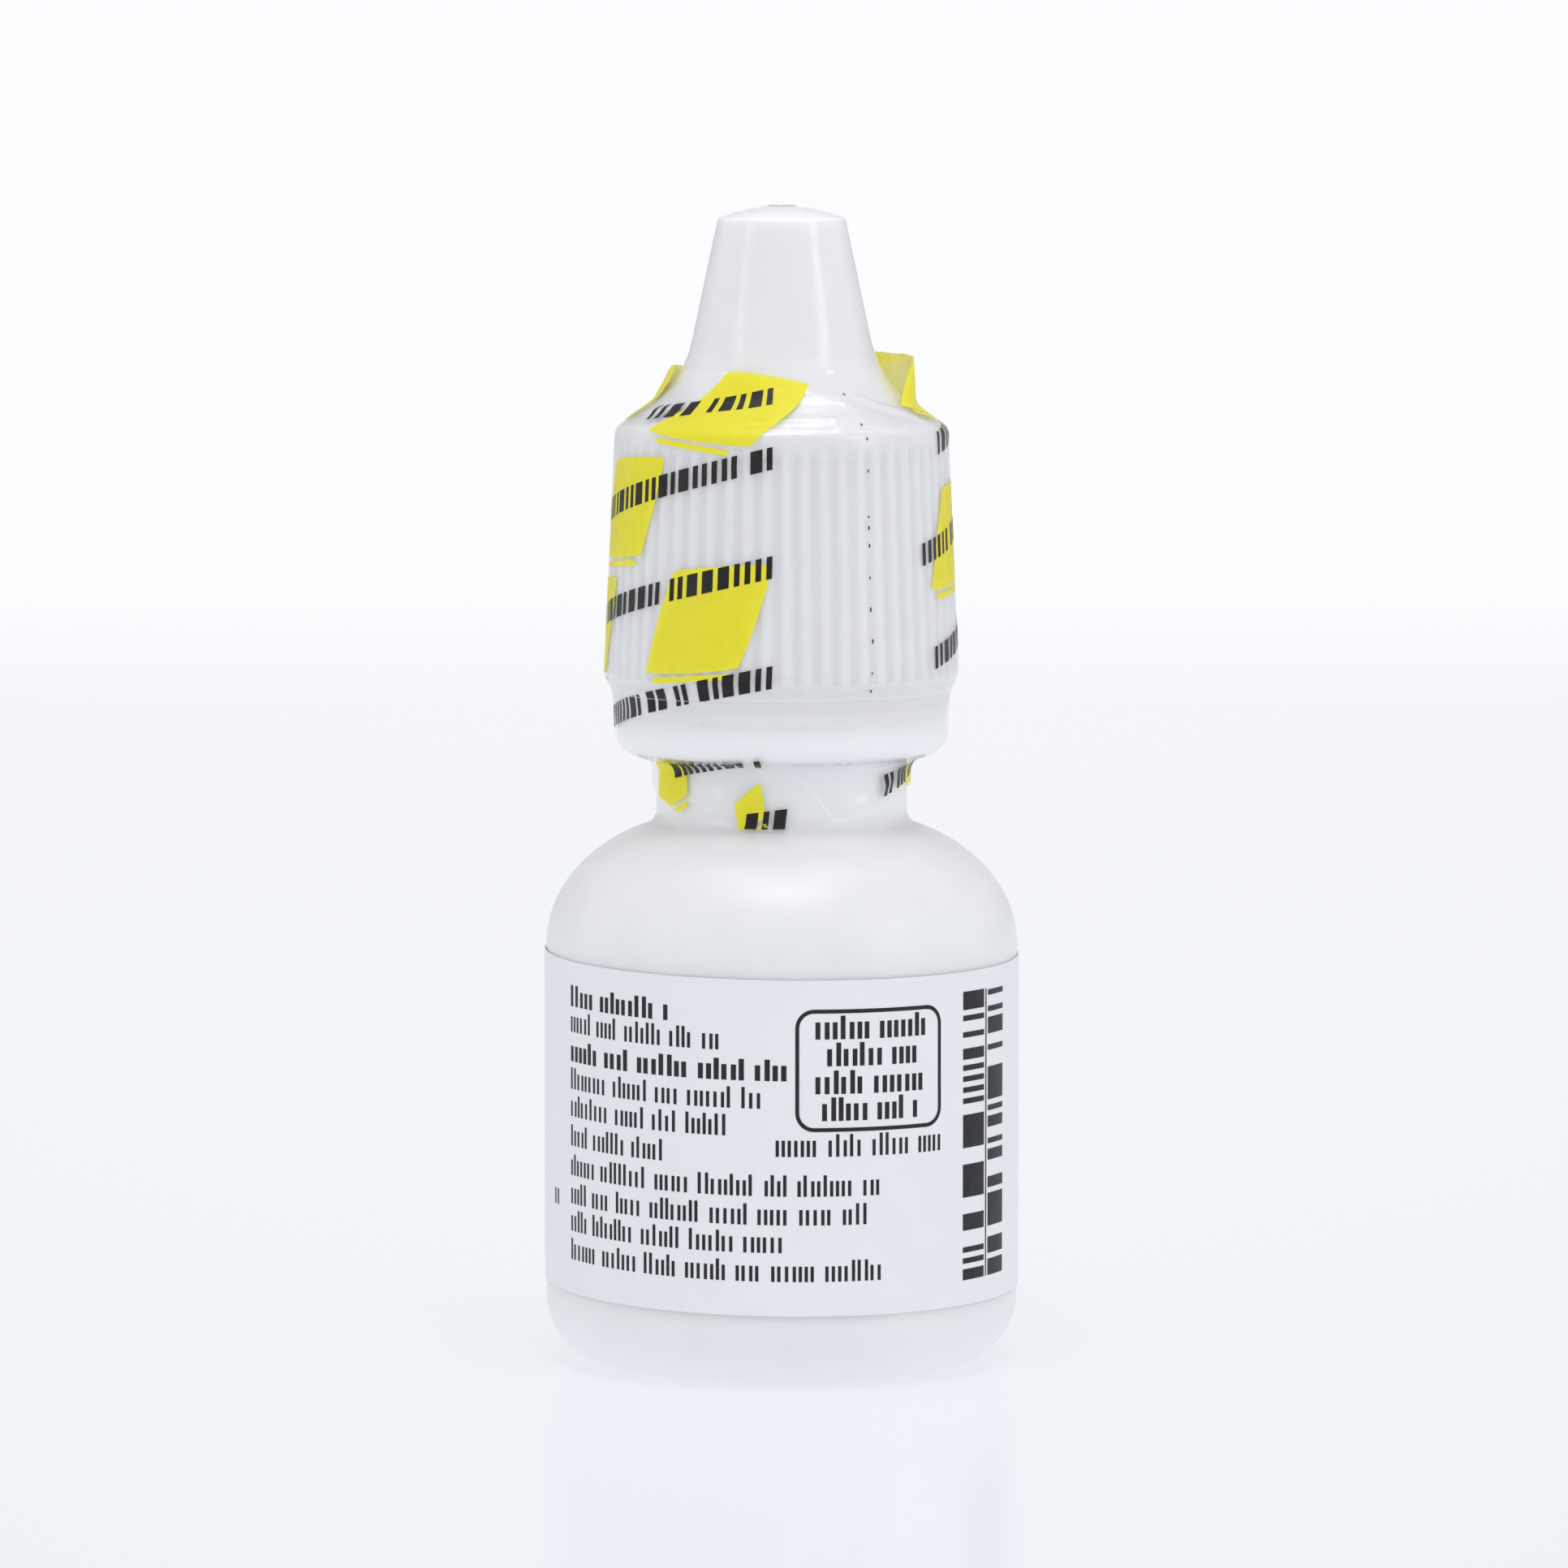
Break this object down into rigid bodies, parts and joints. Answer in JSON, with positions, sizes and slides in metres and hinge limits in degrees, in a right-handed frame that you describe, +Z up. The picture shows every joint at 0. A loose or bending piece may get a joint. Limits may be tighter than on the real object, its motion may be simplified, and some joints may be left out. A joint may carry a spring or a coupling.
{
  "type": "eye drop bottle",
  "caption": "Small round squeeze bottle for eye drops with a pressed-in dropper tip, a ribbed screw cap with a tall spire, a clear neckband and a wrap label.",
  "frame": {"origin": "centre of the base, on the surface the bottle stands on", "axes": "+Z up along the bottle's axis to the cap's spire, -Y towards the viewer and the label's front, +X to the viewer's right"},
  "size_m": [0.0244, 0.0242, 0.0591],
  "materials": {
    "bottle_ldpe": "soft satin, slightly translucent",
    "tip_ldpe": "soft satin, translucent",
    "cap_pp": "glossy moulded",
    "shrink_film": "clear glossy film with a yellow and black print",
    "label_film": "satin translucent white film with grey print"
  },
  "bodies": {
    "bottle": {"bottle": "bottle_ldpe", "dropper_tip": "tip_ldpe", "label": "label_film"},
    "torn_ring": {"neckband_ring": "shrink_film"},
    "cap": {"screw_cap": "cap_pp", "neckband_sleeve": "shrink_film"}
  },
  "joints": [
    {"name": "cap_turn", "type": "hinge", "parent": "bottle", "child": "torn_ring", "pos_m": [0, 0, 0.0344], "axis": [0, 0, 1], "range_deg": [0, 4325]},
    {"name": "cap_lift", "type": "slide", "parent": "torn_ring", "child": "cap", "axis": [0, 0, 1], "range_m": [0, 0.0254]}
  ],
  "couplings": [
    {"joint": "cap_turn", "follows": "cap_lift", "rad_per_m": 2968.4}
  ]
}
